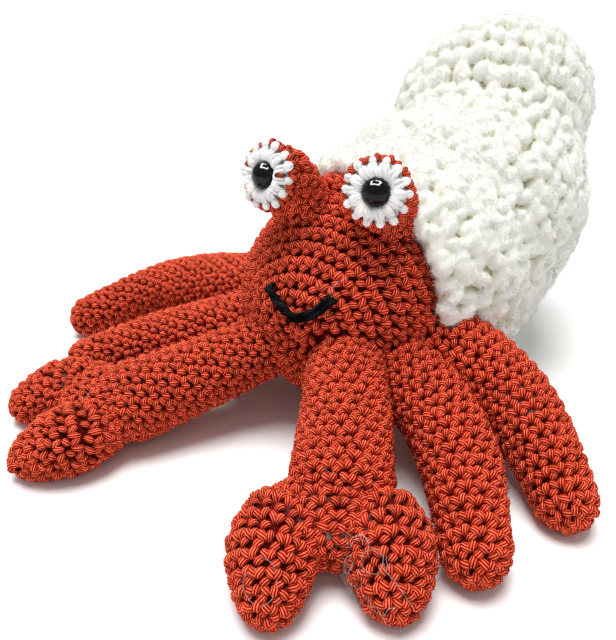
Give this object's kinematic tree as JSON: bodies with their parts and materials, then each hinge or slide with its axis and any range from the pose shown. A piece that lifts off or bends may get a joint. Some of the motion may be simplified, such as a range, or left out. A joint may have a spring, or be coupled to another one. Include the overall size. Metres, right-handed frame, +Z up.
{
  "type": "crocheted toy hermit crab",
  "caption": "Stuffed crocheted toy hermit crab: red ball body with stalked button eyes, stitched smile, clawed arms and legs, tucked into a thick white whorled shell.",
  "frame": {"origin": "middle of the toy's bounding box at table height", "axes": "+Z up, the crab faces -Y, +X is the crab's own left side, so the shell lies towards +Y"},
  "size_m": [0.1844, 0.2048, 0.1052],
  "materials": {
    "red_yarn": "mercerised cotton yarn, brick red, single crochet",
    "white_yarn": "white cotton yarn, crocheted ring",
    "chenille": "thick off-white chenille yarn with a short soft pile",
    "black_yarn": "black cotton thread, embroidered",
    "black_button": "glossy black domed safety eye"
  },
  "bodies": {
    "root": {"body": "red_yarn", "arm_left": "red_yarn", "arm_right": "red_yarn", "leg_rear_left": "red_yarn", "leg_front_left": "red_yarn", "leg_rear_right": "red_yarn", "leg_front_right": "red_yarn", "palm_left": "red_yarn", "finger_inner_left": "red_yarn", "finger_outer_left": "red_yarn", "palm_right": "red_yarn", "finger_inner_right": "red_yarn", "finger_outer_right": "red_yarn", "eyestalk_left": "red_yarn", "eyestalk_right": "red_yarn", "eye_white_left": "white_yarn", "eye_white_right": "white_yarn", "shell": "chenille", "mouth": "black_yarn", "eye_left": "black_button", "eye_right": "black_button"}
  },
  "joints": []
}
